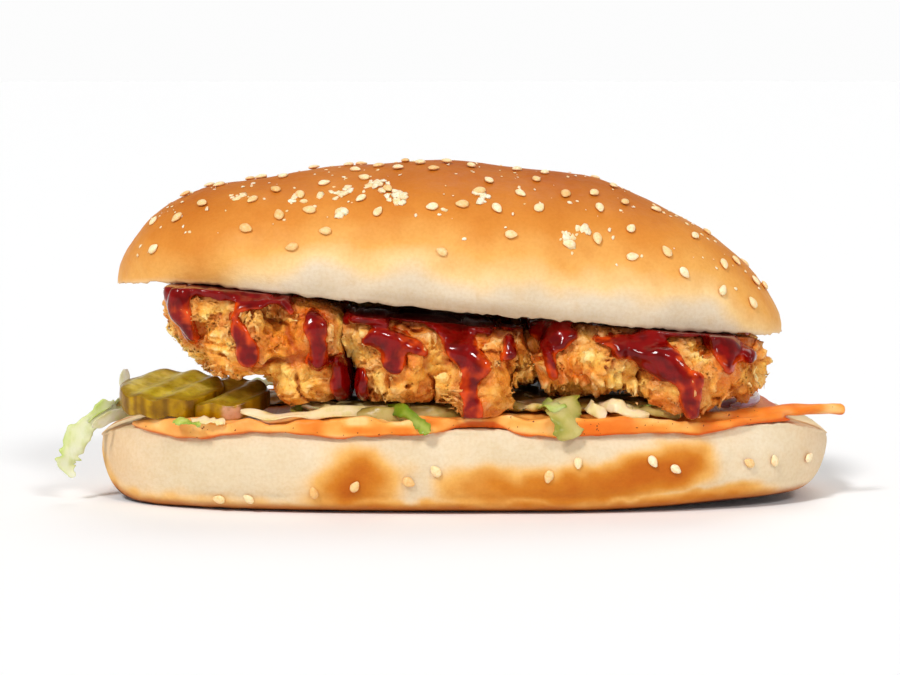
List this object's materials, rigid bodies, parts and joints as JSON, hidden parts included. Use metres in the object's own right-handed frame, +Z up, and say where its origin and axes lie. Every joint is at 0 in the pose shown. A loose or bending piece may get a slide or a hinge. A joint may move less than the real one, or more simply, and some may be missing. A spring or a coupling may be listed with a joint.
{
  "type": "chicken burger",
  "caption": "Long fried chicken burger in a sesame bun, with glazed crisp chicken, crinkle-cut pickle, shredded lettuce, onion and burger sauce, lying flat.",
  "frame": {"origin": "middle of the burger's bounding box, at the height of the surface that the bun lies on", "axes": "+X along the bun to the right, +Y from the front to the back, +Z up"},
  "size_m": [0.1885, 0.0772, 0.0813],
  "materials": {
    "bun_crust": "golden baked crust with a soft sheen",
    "bun_pale": "pale cream bread crust, toasted gold low down",
    "burger_sauce": "smooth orange burger sauce",
    "lettuce": "pale green to white shredded leaf, slightly moist",
    "pickle": "moist olive green",
    "onion": "moist white with a purple edge",
    "fried_crust": "craggy golden fried crust with glossy dark red glaze"
  },
  "bodies": {
    "root": {"bun_crown": "bun_crust", "bun_heel": "bun_pale", "burger_sauce": "burger_sauce", "lettuce": "lettuce", "pickle_left": "pickle", "pickle_right": "pickle", "onion_outer": "onion", "onion_inner": "onion", "chicken_left": "fried_crust", "chicken_middle": "fried_crust", "chicken_right": "fried_crust"}
  },
  "joints": []
}
